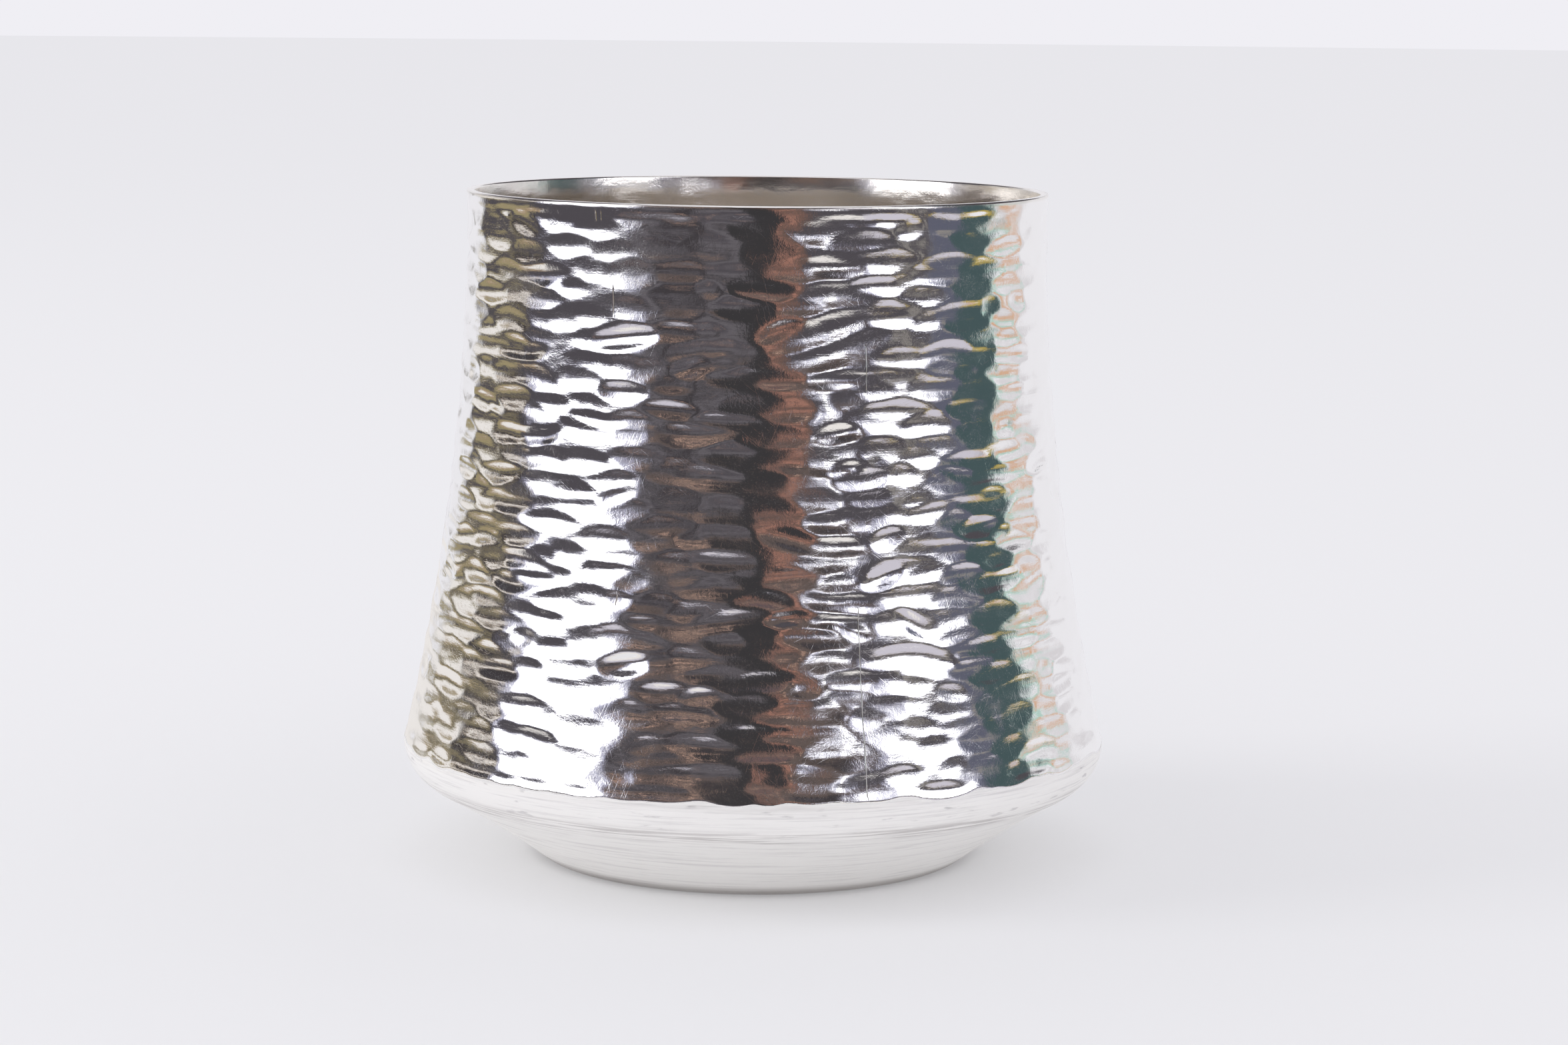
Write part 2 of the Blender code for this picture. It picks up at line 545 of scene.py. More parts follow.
    def swelling(self, bearings: np.ndarray, heights: np.ndarray) -> np.ndarray:
        """The blank's own slow unevenness, as depths from 0 to swell, by row and column."""
        chance = np.random.default_rng(self.seed + 1)
        total = np.zeros_like(heights)
        around = math.tau * self.form.rim_radius / self.swell_length
        for _ in range(self.swell_waves):
            turns = round(around * chance.uniform(*self.swell_turns))
            climb = math.tau / self.swell_length * chance.uniform(-self.swell_climb, self.swell_climb)
            total += np.cos(turns * bearings[None, :] + climb * heights + chance.uniform(0, math.tau))
        total /= np.abs(total).max()
        return self.swell * (0.5 + 0.5 * total)


@dataclass
class SilverBeaker:
    """The one piece of the object: a closed skin with every hammer mark on the outside of its wall.

    The marks fade in below the plain lip, and near the shoulder only a share of their depth is left. The
    shoulder's edge waves with the lowest marks, and the bowl's rings under it take less and less of that.
    """

    form: BeakerForm
    hammer: HammerWork
    columns: int = 360
    wall_rows: int = 226
    inside_parts: tuple[int, int, int] = (8, 4, 3)
    lip_parts: int = 3
    shoulder_parts: int = 12
    flank_parts: int = 8
    foot_parts: int = 4
    edge_wave: float = 0.19 * MM
    edge_limit: float = 0.45 * MM
    edge_turn: float = 0.10 * MM
    edge_reach: float = 0.9 * MM
    edge_share: float = 0.25
    lip_fade: float = 1.2 * MM
    drift_rings: float = 2.5
    settle_rings: float = 1.5
    floor_disc: float = 0.08
    under_disc: float = 0.24

    def bearings(self) -> np.ndarray:
        """Bearing of each column."""
        return np.arange(self.columns) * math.tau / self.columns

    def rings(self) -> tuple[np.ndarray, np.ndarray, np.ndarray]:
        """Every ring of vertices, from the middle of the inside over the lip to the middle underneath.

        Returns:
            Radii and heights by ring and column, and the number of each ring's Zone.
        """
        form = self.form
        bearings = self.bearings()
        inside = form.inside_line(*self.inside_parts) + form.lip_line(self.lip_parts)
        inner = np.array(inside)
        top = form.height - form.lip_round
        down = np.linspace(0.0, 1.0, self.wall_rows + 1)[1:, None]
        level = np.full((1, self.columns), form.shoulder_height)
        edge_press = self.hammer.pressed(bearings, level)
        wave = edge_press - edge_press.mean()
        wave *= self.edge_wave / wave.std()
        edge = form.shoulder_height - np.clip(wave, -self.edge_limit, self.edge_limit)
        heights = top + (edge - top) * down
        fade = np.clip((form.height - self.hammer.plain_lip - heights) / self.lip_fade, 0.0, 1.0)
        fade = fade * fade * (3 - 2 * fade)
        pressed = self.hammer.pressed(bearings, heights) + self.hammer.swelling(bearings, heights)
        near_edge = np.clip((heights - edge) / self.edge_reach, 0.0, 1.0)
        pressed *= fade * (self.edge_share + (1 - self.edge_share) * near_edge)
        radii = form.wall_radius(np.maximum(heights, form.shoulder_height)) - pressed
        bowl = form.bowl_line(self.shoulder_parts, self.flank_parts)
        bowl = form.rounded_foot(bowl, self.foot_parts)
        turn = (form.shoulder_radius - self.edge_turn * 0.5, form.shoulder_height - self.edge_turn)
        lower = np.array([turn, *bowl[1:], (form.foot_radius * 0.5, 0.0)])
        ring = np.arange(len(lower))[:, None]
        drift = np.exp(-ring / self.drift_rings) * (edge - form.shoulder_height)
        settle = np.exp(-ring / self.settle_rings) * (form.shoulder_radius - radii[-1])
        lower_radii = lower[:, :1] - settle
        lower_heights = np.maximum(lower[:, 1:] + drift, 0.0)
        all_radii = np.vstack([np.repeat(inner[:, :1], self.columns, axis=1), radii, lower_radii])
        all_heights = np.vstack([np.repeat(inner[:, 1:], self.columns, axis=1), heights, lower_heights])
        sizes = {Zone.INSIDE: len(inner), Zone.WALL: len(radii), Zone.BOWL: len(lower)}
        zones = np.concatenate([np.full(size, zone.value) for zone, size in sizes.items()])
        return all_radii, all_heights, zones

    def build(self) -> bpy.types.Object:
        """Makes the closed skin as one mesh that faces outwards, with its zones and its unwrap."""
        radii, heights, zones = self.rings()
        count, columns = radii.shape
        bearings = self.bearings()
        x = radii * np.sin(bearings)
        y = -radii * np.cos(bearings)
        vertices = np.stack([x, y, heights], axis=2).reshape(-1, 3)
        middle_inside, middle_under = len(vertices), len(vertices) + 1
        vertices = np.vstack([vertices, [[0, 0, self.form.wall], [0, 0, 0]]])
        ring, column = np.meshgrid(np.arange(count - 1), np.arange(columns), indexing="ij")
        here = ring * columns + column
        beside = ring * columns + (column + 1) % columns
        quads = np.stack([here, here + columns, beside + columns, beside], axis=2).reshape(-1, 4)
        faces = [tuple(q) for q in quads.tolist()]
        last = (count - 1) * columns
        for c in range(columns):
            after = (c + 1) % columns
            faces.append((middle_inside, c, after))
            faces.append((middle_under, last + after, last + c))
        mesh = bpy.data.meshes.new("beaker_silver")
        mesh.from_pydata(vertices.tolist(), [], faces)
        for zone in (Zone.INSIDE, Zone.BOWL):
            share = np.repeat((zones == zone.value).astype(float), columns)
            share = np.append(share, [float(zone is Zone.INSIDE), float(zone is Zone.BOWL)])
            mesh.attributes.new(zone.name.lower(), "FLOAT", "POINT").data.foreach_set("value", share)
        self.unwrap(mesh, radii, heights)
        mesh.shade_smooth()
        beaker = bpy.data.objects.new("beaker_silver", mesh)
        bpy.context.scene.collection.objects.link(beaker)
        return beaker

    def unwrap(self, mesh: bpy.types.Mesh, radii: np.ndarray, heights: np.ndarray) -> None:
        """Unrolls the skin: the rings side by side, with the inside floor and the underside as discs above.

        Args:
            mesh: the skin.
            radii: radius of each vertex, by ring and column.
            heights: height of each vertex, by ring and column.
        """
        count, columns = radii.shape
        section = np.stack([radii.mean(axis=1), heights.mean(axis=1)], axis=1)
        steps = np.linalg.norm(np.diff(section, axis=0), axis=1)
        around = math.tau * self.form.shoulder_radius
        up = 1.0 - np.concatenate([[0.0], np.cumsum(steps)]) / around
        up -= up.min() - UV_EDGE
        across = UV_EDGE + (1 - 2 * UV_EDGE) * np.arange(columns + 1) / columns
        ring, column = np.meshgrid(np.arange(count - 1), np.arange(columns), indexing="ij")
        corners = [(ring, column), (ring + 1, column), (ring + 1, column + 1), (ring, column + 1)]
        quads = np.stack([np.stack([across[c], up[r]], axis=-1) for r, c in corners], axis=2).reshape(-1, 2)
        turns = np.arange(columns + 1) * math.tau / columns
        disc_up = (1 + up.max()) / 2
        fans = []
        for c in range(columns):
            for middle, radius, pair in ((self.floor_disc, section[0, 0], (c, c + 1)),
                                         (self.under_disc, section[-1, 0], (c + 1, c))):
                fans.append((middle, disc_up))
                for corner in pair:
                    reach = radius / around
                    up_by = reach * math.sin(turns[corner])
                    fans.append((middle + reach * math.cos(turns[corner]), disc_up + up_by))
        layer = mesh.uv_layers.new(name=UV_NAME)
        layer.data.foreach_set("uv", np.vstack([quads, fans]).ravel())

    def dress(self, beaker: bpy.types.Object) -> None:
        """Gives the beaker its silver and hangs it on the frame."""
        beaker.data.materials.append(BeakerSilver().material())
        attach(beaker, "root")
        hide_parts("beaker")


@dataclass(frozen=True)
class Polish:
    """How one zone of the silver is finished."""

    colour: Colour
    roughness: float
    cloud: float
    metal: float = 1.0


@dataclass(frozen=True)
class Scratch:
    """A straight hairline down the wall, as a bearing and two heights."""

    bearing: float
    low: float
    high: float
    width: float = 0.16 * MM

    def mask(self, nodes: Nodes) -> Value:
        """1 in the scratch and 0 beside it."""
        turn = math.radians(self.bearing)
        aside = (nodes.axis("X") * math.cos(turn) + nodes.axis("Y") * math.sin(turn)).size()
        front = (nodes.axis("Y") * -1.0).step_up(0.0, 1.0 * MM)
        z = nodes.axis("Z")
        ends = z.step_up(self.low - 0.5 * MM, self.low + 0.5 * MM)
        ends = ends * z.step_up(self.high + 0.5 * MM, self.high - 0.5 * MM)
        return aside.step_up(self.width / 2, 0.0) * front * ends


@dataclass(frozen=True)
class BeakerSilver:
    """One silver with three polishes: burnished between hammer marks, satin on the bowl, worn inside."""

    wall: Polish = Polish((0.955, 0.945, 0.935), 0.045, 0.07)
    bowl: Polish = Polish((1.0, 0.985, 0.960), 0.34, 0.10, 0.38)
    inside: Polish = Polish((0.90, 0.87, 0.83), 0.15, 0.05)
    smudge: Colour = (0.62, 0.60, 0.60)
    seam: Colour = (0.50, 0.47, 0.46)
    # painted shade: the colour that the bowl darkens to at its very bottom, standing in for the contact
    # shadow where the foot meets the floor
    foot: Colour = (0.36, 0.33, 0.31)
    wear: float = 0.15
    hairline_wear: float = 0.035
    scratch_wear: float = 0.25
    scratch_depth: float = 5.0
    grain_depth: float = 0.011 * MM
    hairline_leans: tuple[float, ...] = (24.0, -38.0, 68.0, -74.0)
    seam_height: float = 10.2 * MM
    seam_half: float = 1.5 * MM
    # painted shade: the height below which the painted contact shadow darkens the foot
    foot_shade_height: float = 1.7 * MM
    worn_bearing: float = -26.0
    worn_height: float = 75.5 * MM
    worn_reach: float = 6.0 * MM
    scratches: tuple[Scratch, ...] = (
        Scratch(17.7, 15.2 * MM, 36.0 * MM),
        Scratch(-27.5, 69.4 * MM, 72.4 * MM, 0.22 * MM),
        Scratch(20.5, 61.0 * MM, 66.0 * MM, 0.1 * MM),
        Scratch(-24.0, 36.5 * MM, 37.6 * MM, 0.25 * MM),
        Scratch(-31.6, 79.9 * MM, 81.1 * MM, 0.3 * MM),
        Scratch(-30.4, 80.1 * MM, 81.0 * MM, 0.22 * MM),
    )

    def hairlines(self, nodes: Nodes) -> Value:
        """Long fine scratches that lean several ways, where the silver was rubbed."""
        leans = self.hairline_leans
        lines = sum(nodes.noise((160, 900, 5200), 1.0, 0.5, lean).step_up(0.64, 0.72) for lean in leans)
        rubbed = nodes.noise((120, 120, 190), 2.0).step_up(0.36, 0.62)
        return lines * (0.2 + 0.8 * rubbed)

    def grain(self, nodes: Nodes) -> Value:
        """The height of the fine polishing lines: level ones, upright ones and a few long hairlines."""
        level = nodes.noise((210, 210, 5200), 3.0, 0.65)
        upright = nodes.noise((4200, 4200, 420), 2.0, 0.6)
        pitted = nodes.noise((2600, 2600, 3400), 3.0, 0.62)
        rubbed = nodes.noise((170, 170, 300), 2.0).step_up(0.42, 0.62)
        height = 0.5 * level + (0.12 + 0.25 * rubbed) * upright + (0.5 + 0.7 * rubbed) * pitted
        height = height + 4.5 * nodes.noise((330, 330, 640), 1.0)
        height = height - 0.16 * self.hairlines(nodes)
        for scratch in self.scratches:
            height = height - self.scratch_depth * scratch.mask(nodes)
        return height

    def worn(self, nodes: Nodes) -> Value:
        """How much fine wear there is: specks, thickest in cloudy places and on a patch under the lip."""
        specks = nodes.noise((4600, 4600, 6500), 3.0, 0.6)
        cloud = nodes.noise((130, 130, 230), 3.0, 0.6)
        turn = math.radians(self.worn_bearing)
        x, y, z = (nodes.axis(name) for name in "XYZ")
        aside = (x * math.cos(turn) + y * math.sin(turn)) * (1 / self.worn_reach)
        up = (z - self.worn_height) * (1 / self.worn_reach)
        front = (y * -1.0).step_up(0.0, 1.0 * MM)
        patch = (aside * aside + up * up).step_up(1.6, 0.2) * front
        return (specks + 0.55 * cloud + 0.12 * patch).step_up(0.74, 1.10)

    def roughness(self, nodes: Nodes, bowl: Value, inside: Value) -> Value:
        """The roughness, from one polish to the next and cloudy within each."""
        cloud = nodes.noise((150, 150, 380), 4.0, 0.6).step_up(0.32, 0.72)
        rough = self.wall.roughness + (self.bowl.roughness - self.wall.roughness) * bowl
        rough = rough + (self.inside.roughness - self.wall.roughness) * inside
        rough = rough + (self.wall.cloud + (self.bowl.cloud - self.wall.cloud) * bowl) * cloud
        wear = self.wear * self.worn(nodes) + self.hairline_wear * self.hairlines(nodes)
        for scratch in self.scratches:
            wear = wear + self.scratch_wear * scratch.mask(nodes)
        return rough + wear * (1.0 - bowl) * (1.0 - inside)

    def colour(self, nodes: Nodes, bowl: Value, inside: Value) -> bpy.types.NodeSocket:
        """The colour: the wall's, the paler bowl with grey streaks and smudges and with painted contact
        shadow darkening it towards the floor, and the warmer inside.
        """
        z = nodes.axis("Z")
        streaks = nodes.noise((75, 75, 3000), 4.0, 0.66).step_up(0.47, 0.72)
        seam = (z - self.seam_height).size().step_up(self.seam_half, 0.1 * MM)
        torn = nodes.noise((70, 70, 4200), 3.0, 0.65).step_up(0.44, 0.60)
        smudges = nodes.noise((230, 230, 1100), 3.0).step_up(0.62, 0.72) * z.step_up(9.0 * MM, 12.0 * MM)
        bright = nodes.mix(0.5 * streaks, self.bowl.colour, self.smudge)
        bright = nodes.mix(0.8 * smudges, bright, self.smudge)
        bright = nodes.mix(0.7 * seam * torn, bright, self.seam)
        # painted contact shadow: the bowl darkens towards the floor, below the height given above
        bright = nodes.mix(0.75 * z.step_up(self.foot_shade_height, 0.3 * MM), bright, self.foot)
        colour = nodes.mix(bowl, self.wall.colour, bright)
        return nodes.mix(inside, colour, self.inside.colour)

    def material(self) -> bpy.types.Material:
        """The whole silver as one material."""
        made = bpy.data.materials.new("beaker_silver")
        made.use_nodes = True
        nodes = Nodes(made.node_tree)
        bowl, inside = nodes.attribute("bowl"), nodes.attribute("inside")
        bump = nodes.add("ShaderNodeBump", None, {
            "Strength": 1.0, "Distance": self.grain_depth, "Height": self.grain(nodes)})
        shader = nodes.add("ShaderNodeBsdfPrincipled", None, {
            "Base Color": self.colour(nodes, bowl, inside), "Metallic": 1.0 - (1.0 - self.bowl.metal) * bowl,
            "Roughness": self.roughness(nodes, bowl, inside), "Normal": bump.outputs[0]})
        nodes.add("ShaderNodeOutputMaterial", None, {"Surface": shader.outputs[0]})
        return made


def show_to(thing: bpy.types.Object, seen: Seen) -> None:
    """Sets which rays see a thing of the studio.

    Args:
        thing: the object.
        seen: the rays.
    """
    if seen is Seen.IN_SILVER:
        thing.visible_camera = False
        thing.visible_diffuse = False
        thing.visible_shadow = False
        thing.visible_transmission = False


@dataclass(frozen=True)
class Patch:
    """A soft-edged area of what stands round the beaker, in degrees of bearing and rise from its wall."""

    left: float
    right: float
    low: float
    high: float
    colour: Colour
    soft: float = 0.8
    lumps: float = 0.0
    share: float = 0.5
    lean: float = 0.0

    def reaches(self, left: float, right: float) -> bool:
        """Whether any of the patch lies between two bearings."""
        margin = self.soft + abs(self.lean) * max(abs(self.low), abs(self.high))
        return self.right + margin > left and self.left - margin < right

    def mask(self, nodes: Nodes, bearing: Value, rise: Value) -> Value:
        """Where the patch is.

        Args:
            nodes: the tree that it is painted in.
            bearing: the bearing of the painted point.
            rise: its rise.

        Returns:
            1 on the patch and 0 off it; with lumps, only on a share of it, in lumps that many degrees wide.
        """
        aside = bearing + self.lean * rise if self.lean else bearing
        across = aside.step_up(self.left - self.soft, self.left + self.soft)
        across = across * aside.step_up(self.right + self.soft, self.right - self.soft)
        up = rise.step_up(self.low - self.soft, self.low + self.soft)
        up = up * rise.step_up(self.high + self.soft, self.high - self.soft)
        mask = across * up
        if self.lumps:
            parts = {"X": bearing, "Y": rise, "Z": self.left + self.low}
            spot = nodes.add("ShaderNodeCombineXYZ", None, parts)
            fine = 1 / self.lumps
            lumps = nodes.noise((fine, fine * LUMP_SHAPE, 1.0), 1.5, place=spot.outputs[0])
            middle = 0.65 - 0.3 * self.share
            mask = mask * lumps.step_up(middle - LUMP_EDGE, middle + LUMP_EDGE)
        return mask


@dataclass
class Surround:
    """What the silver mirrors: a painted wall with the ground in front of it, which no camera sees. It is no
    lamp but glows with its painted colours, so the silver's reflections of it are painted light and shade.
    """

    eye_height: float = 48.0 * MM
    near: float = 0.09
    distance: float = 1.8
    edges: tuple[float, ...] = (-168.0, -114.0, -75.0, -30.0, 0.0, 24.0, 60.0, 90.0, 138.0, 174.0)
    top: float = 3.2
    lift: float = 1.0 * MM
    step: float = 3.0
    pale: Colour = (0.845, 0.838, 0.875)
    # painted light: white glows brighter than anything lit, where the silver mirrors softboxes, and fringe
    # is the painted glow round their edges
    white: Colour = (2.3, 2.3, 2.35)
    fringe: Colour = (0.46, 0.46, 0.60)
    cream: Colour = (0.84, 0.81, 0.79)
    lavender: Colour = (0.60, 0.575, 0.65)
    shade: Colour = (0.080, 0.073, 0.084)
    umber: Colour = (0.128, 0.100, 0.092)
    slate: Colour = (0.130, 0.120, 0.133)
    stone: Colour = (0.29, 0.27, 0.25)
    black: Colour = (0.043, 0.041, 0.044)
    soot: Colour = (0.052, 0.047, 0.052)
    navy: Colour = (0.115, 0.120, 0.165)
    rose: Colour = (0.78, 0.50, 0.38)
    rust: Colour = (0.130, 0.087, 0.075)
    copper: Colour = (0.38, 0.19, 0.145)
    olive: Colour = (0.33, 0.28, 0.16)
    tan: Colour = (0.40, 0.30, 0.19)
    peach: Colour = (0.66, 0.40, 0.25)
    teal: Colour = (0.062, 0.098, 0.104)
    yellow: Colour = (0.50, 0.38, 0.08)
    mint: Colour = (0.38, 0.62, 0.54)
    mist: Colour = (0.68, 0.66, 0.69)

    def patches(self) -> list[Patch]:
        """The patches, each over the ones before it."""
        return [
            Patch(-136, 88, -60, 54, self.shade, 4.0),
            Patch(-60, 40, 9, 30, self.umber, 3.0),
            Patch(-60, 40, 14, 32, self.soot, 2.5, 7.0, 0.5),
            Patch(-52, 0, -4, 3, self.slate, 1.5, 6.0, 0.65),
            Patch(-52, 0, 3, 6, self.soot, 1.0, 5.0, 0.6),
            Patch(-52, 0, 6, 9, self.slate, 1.0, 5.0, 0.5),
            Patch(-56, -6, -20, 44, self.soot, 2.5, 11.0, 0.35),
            Patch(-52, 4, -10, -7.5, self.rose, 0.4, 3.0, 0.12),
            Patch(-46, -4, 12, 15, self.rose, 0.4, 3.0, 0.2),
            Patch(-46, -4, 19, 22, self.rose, 0.4, 3.0, 0.22),
            Patch(-46, -4, 27, 31, self.rose, 0.4, 3.0, 0.28),
            Patch(-46, -4, 34, 38, self.rose, 0.4, 3.0, 0.28),
            Patch(-52, 19, -14, -9, self.slate, 2.0, 5.0, 0.5),
            Patch(-52, -22, -60, -14, self.lavender, 2.0),
            Patch(-24, 19, -60, -17, self.lavender, 2.0),
            Patch(-52, 19, -60, -22, self.cream, 2.0),
            # left of the middle
            Patch(-146, -112, 6, 13, self.stone, 2.0),
            Patch(-152, -112, 11, 30, self.mist, 2.0, 20.0, 0.75),
            Patch(-166, -88, -60, -9, self.cream, 1.2),
            Patch(-88, -54, -60, -19, self.cream, 1.5),
            Patch(-142, -90, -9.5, -7.5, self.tan, 0.5, 16.0, 0.8),
            Patch(-142, -98, -7.5, -4.5, self.olive, 0.6),
            Patch(-158, -141, -12, 6, self.stone, 0.6, 4.0, 0.3),
            Patch(-140, -100, -1.5, 0.2, self.olive, 0.4),
            Patch(-143, -112, 0.2, 6.5, self.cream, 0.6),
            Patch(-142, -106, 6.3, 7.4, self.tan, 0.4, 12.0, 0.7),
            Patch(-142, -104, 7.4, 9.5, self.olive, 0.5),
            Patch(-114, -90, 0, 54, self.soot, 2.0),
            Patch(-114, -89, 4.6, 9.4, self.tan, 0.5),
            Patch(-113, -89, 5.6, 8.4, self.cream, 0.5),
            Patch(-94, -46.5, 1, 39, self.fringe, 1.8),
            Patch(-90, -51, 3, 37, self.white, 1.2),
            Patch(-166, -100, 22, 70, self.shade, 3.0),
            # right of the middle
            Patch(18, 42, -60, -11, self.cream, 1.5),
            Patch(19, 36, 3, 10, self.fringe, 1.5, 6.0, 0.8),
            Patch(20, 31, 3.5, 9, self.white, 1.2, 6.0, 0.5),
            Patch(33, 46, 15, 40, self.fringe, 1.8),
            Patch(36, 46, 17, 38, self.white, 1.0, 7.0, 0.55),
            Patch(40, 86, -60, -8, self.lavender, 1.0),
            Patch(44, 86, -8.8, -7.2, self.yellow, 0.5, 4.0, 0.4),
            Patch(50, 72, -5, 7, self.stone, 1.5, 6.0, 0.35),
            Patch(70, 86, -8, 54, self.navy, 1.5),
            Patch(72, 86, 5, 9, self.stone, 1.0, 5.0, 0.45),
            Patch(42, 75, 6.8, 40, self.fringe, 2.0),
            Patch(46, 72, 8.8, 38, self.white, 1.2),
            # the middle
            Patch(-5.7, 8.2, -26, 54, self.black, 1.0, lean=0.3),
            Patch(8, 18, -14, 14, self.rust, 1.0, lean=0.2),
            Patch(8.5, 13, -11, -2, self.copper, 0.5, 5.0, 0.6, 0.2),
            Patch(9, 15, 2, 7, self.copper, 0.5, 5.0, 0.6, 0.2),
            Patch(8, 9, -14, 40, self.copper, 0.3, lean=0.2),
            Patch(12.5, 13.4, -3, 40, self.copper, 0.3, 6.0, 0.7, 0.2),
            Patch(15.5, 16.6, -14, 30, self.copper, 0.3, 6.0, 0.6, 0.2),
            Patch(8, 17, 12, 15, self.rose, 0.4, 4.0, 0.5, 0.2),
            Patch(8, 17, 24, 26, self.rose, 0.4, 4.0, 0.4, 0.2),
            # the right edge
            Patch(83.5, 103, -9, 50, self.teal, 0.9),
            Patch(83.5, 104, -10.5, -8.8, self.yellow, 0.5),
            Patch(85, 102, -8.8, -6.8, self.yellow, 0.4, 5.0, 0.35),
            Patch(84, 100, -16, -10.5, self.peach, 0.8, 6.0, 0.35),
            Patch(102, 104.5, -8, 20, self.mint, 0.8, 4.0, 0.6),
            Patch(103, 132, -60, 50, self.mist, 2.0, 4.5, 0.5),
            Patch(103, 121, -5, 0.5, self.peach, 1.0, 4.5, 0.6),
            Patch(104, 124, 0.5, 3, self.mint, 0.8, 5.0, 0.6),
            Patch(90, 171, 16, 70, self.shade, 2.0),
        ]

    def paint(self, name: str, patches: list[Patch]) -> bpy.types.Material:
        """Some patches as a glowing material, painted light for the silver to mirror, that no lamp sampling
        looks for.

        Args:
            name: its name.
            patches: the patches, each over the ones before it.

        Returns:
            The material.
        """
        made = bpy.data.materials.new(name)
        made.use_nodes = True
        nodes = Nodes(made.node_tree)
        x, y, z = (nodes.axis(letter) for letter in "XYZ")
        bearing = x.degrees_over(y * -1.0)
        rise = (z - self.eye_height).degrees_over((x * x + y * y).root())
        colour = self.pale
        for patch in patches:
            colour = nodes.mix(patch.mask(nodes, bearing, rise), colour, patch.colour)
        shader = nodes.add("ShaderNodeBsdfPrincipled", None, {
            "Base Color": (0.0, 0.0, 0.0), "Specular IOR Level": 0.0, "Roughness": 1.0,
            "Emission Color": colour, "Emission Strength": 1.0})
        nodes.add("ShaderNodeOutputMaterial", None, {"Surface": shader.outputs[0]})
        made.cycles.emission_sampling = "NONE"
        return made

    def sector(self, name: str, left: float, right: float) -> bpy.types.Object:
        """One sheet of ground and wall, turned about the beaker, with the patches that reach it.

        Args:
            name: its name.
            left: the bearing where it starts.
            right: the bearing where it ends.

        Returns:
            The sheet.
        """
        parts = round((right - left) / self.step)
        turns = np.radians(np.linspace(left, right, parts + 1))
        line = [(self.near, self.lift), (self.distance, self.lift), (self.distance, self.top)]
        vertices = [(r * math.sin(a), -r * math.cos(a), z) for r, z in line for a in turns]
        row = parts + 1
        faces = [(i, i + 1, i + row + 1, i + row) for k in range(2) for i in range(k * row, k * row + parts)]
        mesh = bpy.data.meshes.new(name)
        mesh.from_pydata(vertices, [], faces)
        mesh.materials.append(self.paint(name, [p for p in self.patches() if p.reaches(left, right)]))
        sheet = bpy.data.objects.new(name, mesh)
        bpy.context.scene.collection.objects.link(sheet)
        show_to(sheet, Seen.IN_SILVER)
        return sheet

    def build(self) -> None:
        """Makes the sectors, side by side."""
        for number, (left, right) in enumerate(zip(self.edges, self.edges[1:]), 1):
            LOG.info("stage %s", self.sector(f"surround_{number}", left, right).name)


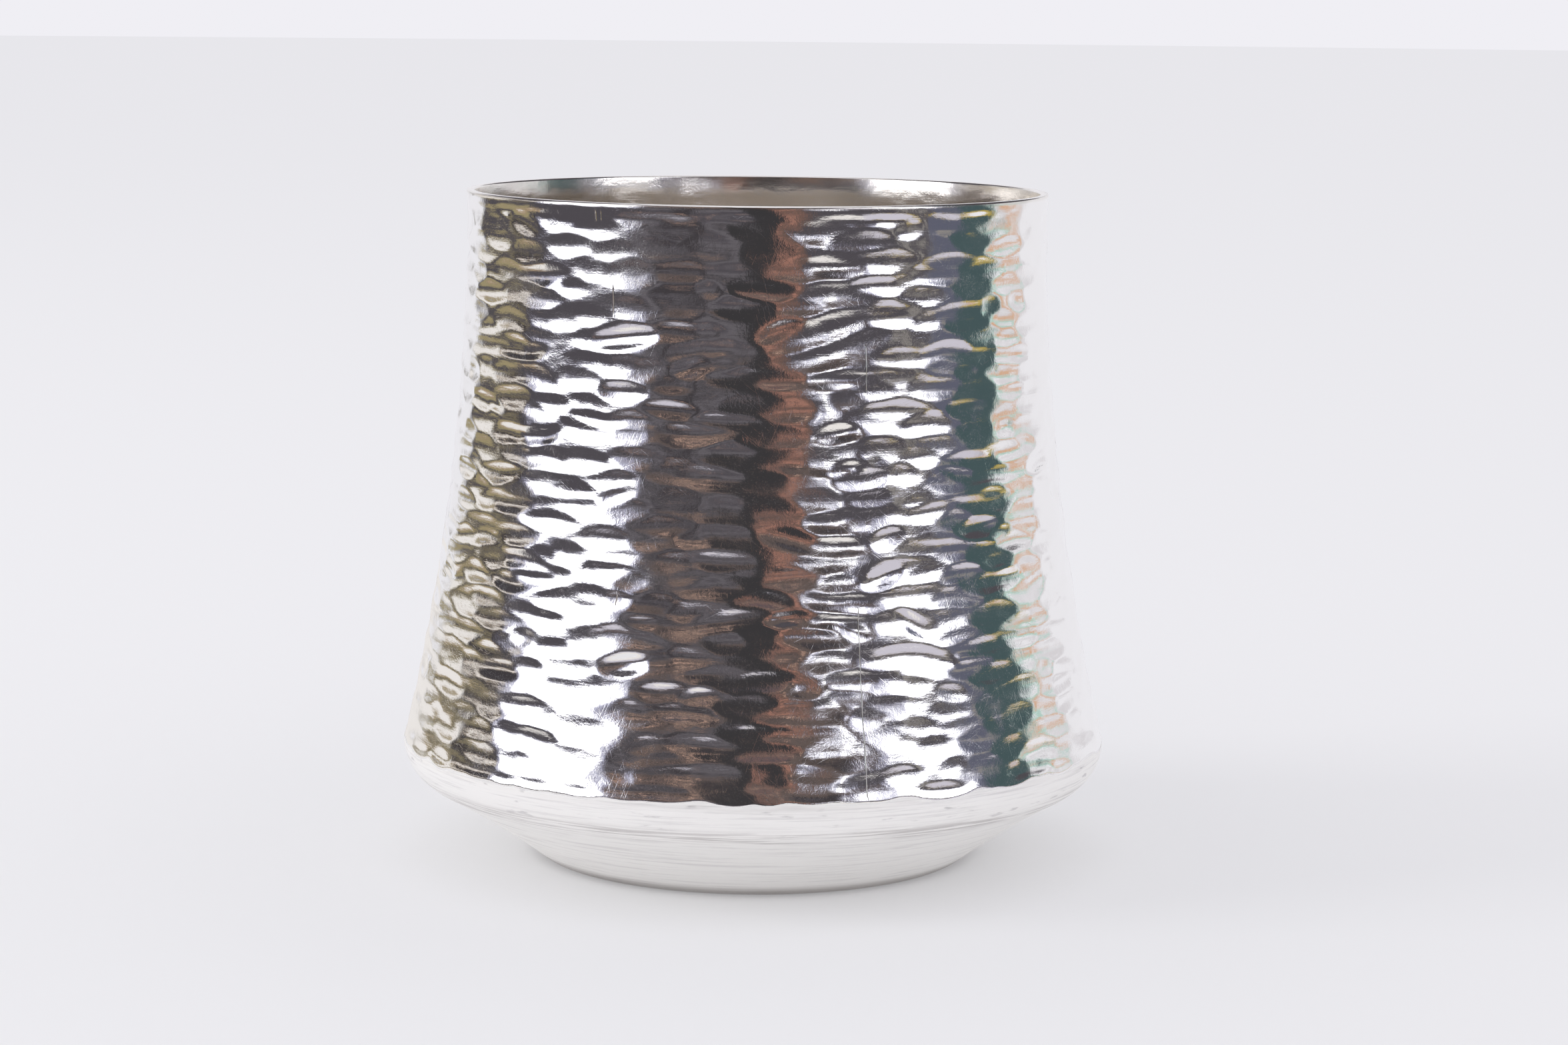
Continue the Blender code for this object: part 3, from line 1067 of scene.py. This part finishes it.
@dataclass
class Studio:
    """A pale floor under an even pale sky, with a soft lamp and the surround that the silver mirrors."""

    floor_radius: float = 7.0
    floor_colour: Colour = (0.70, 0.70, 0.70)
    floor_glow: Colour = (0.195, 0.195, 0.200)
    sky: Colour = (0.87, 0.862, 0.905)
    lamp_place: tuple[float, float, float] = (-1.3, -0.25, 0.62)
    lamp_size: float = 0.6
    lamp_watts: float = 3.6

    def floor(self) -> bpy.types.Object:
        """The pale floor, a wide disc."""
        parts = 96
        turns = np.linspace(0, math.tau, parts, endpoint=False)
        vertices = [(self.floor_radius * math.cos(a), self.floor_radius * math.sin(a), 0.0) for a in turns]
        mesh = bpy.data.meshes.new("floor")
        mesh.from_pydata(vertices, [], [tuple(range(parts))])
        made = bpy.data.materials.new("floor")
        made.use_nodes = True
        nodes = Nodes(made.node_tree)
        shader = nodes.add("ShaderNodeBsdfPrincipled", None, {
            "Base Color": self.floor_colour, "Roughness": 0.9, "Specular IOR Level": 0.0,
            "Emission Color": self.floor_glow, "Emission Strength": 1.0})
        nodes.add("ShaderNodeOutputMaterial", None, {"Surface": shader.outputs[0]})
        mesh.materials.append(made)
        floor = bpy.data.objects.new("floor", mesh)
        bpy.context.scene.collection.objects.link(floor)
        show_to(floor, Seen.BY_ALL)
        return floor

    def light_sky(self) -> None:
        """Makes the even pale sky."""
        world = bpy.data.worlds.new("sky")
        world.use_nodes = True
        nodes = Nodes(world.node_tree)
        shine = nodes.add("ShaderNodeBackground", None, {"Color": self.sky, "Strength": 1.0})
        nodes.add("ShaderNodeOutputWorld", None, {"Surface": shine.outputs[0]})
        bpy.context.scene.world = world

    def lamp(self) -> bpy.types.Object:
        """A soft square lamp that points at the beaker and doesn't show in the silver."""
        data = bpy.data.lights.new("left_lamp", "AREA")
        data.size = self.lamp_size
        data.energy = self.lamp_watts
        lamp = bpy.data.objects.new("left_lamp", data)
        bpy.context.scene.collection.objects.link(lamp)
        lamp.location = self.lamp_place
        lamp.rotation_euler = (-lamp.location).to_track_quat("-Z", "Y").to_euler()
        lamp.visible_glossy = False
        return lamp

    def build(self) -> None:
        """Makes the whole studio."""
        LOG.info("stage %s", self.floor().name)
        self.light_sky()
        LOG.info("light %s", self.lamp().name)
        Surround().build()


@dataclass(frozen=True)
class StillCamera:
    """The camera at the place and angle of the photograph."""

    distance: float = 461.5 * MM
    height: float = 106.6 * MM
    pitch: float = 8.101
    yaw: float = -0.445
    roll: float = 0.55
    lens: float = 86.39
    sensor: float = 36.0

    def build(self) -> bpy.types.Object:
        """Makes the camera and hands it to the scene."""
        data = bpy.data.cameras.new("camera")
        data.lens = self.lens
        data.sensor_width = self.sensor
        data.clip_start = 0.02
        data.clip_end = 40.0
        camera = bpy.data.objects.new("camera", data)
        bpy.context.scene.collection.objects.link(camera)
        turn = Matrix.Rotation(math.radians(self.yaw), 4, "Z")
        turn @= Matrix.Rotation(math.radians(90 - self.pitch), 4, "X")
        turn @= Matrix.Rotation(math.radians(self.roll), 4, "Z")
        camera.matrix_world = Matrix.Translation((0, -self.distance, self.height)) @ turn
        bpy.context.scene.camera = camera
        return camera


def main() -> None:
    """Builds the beaker and its studio in order."""
    logging.basicConfig(level=logging.INFO, format="%(name)s: %(message)s")
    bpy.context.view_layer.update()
    low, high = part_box("beaker")
    form = BeakerForm(high.z - low.z, (high.x - low.x) / 2)
    hammer = HammerWork(form)
    hammer.strike()
    LOG.info("%d hammer marks", len(hammer.marks))
    maker = SilverBeaker(form, hammer)
    beaker = maker.build()
    maker.dress(beaker)
    LOG.info("piece %s, %d faces", beaker.name, len(beaker.data.polygons))
    Studio().build()
    LOG.info("view from %s", StillCamera().build().name)
    bpy.context.scene.view_settings.view_transform = "Standard"
    bpy.context.scene.cycles.glossy_bounces = GLOSSY_BOUNCES


if __name__ == "__main__":
    main()
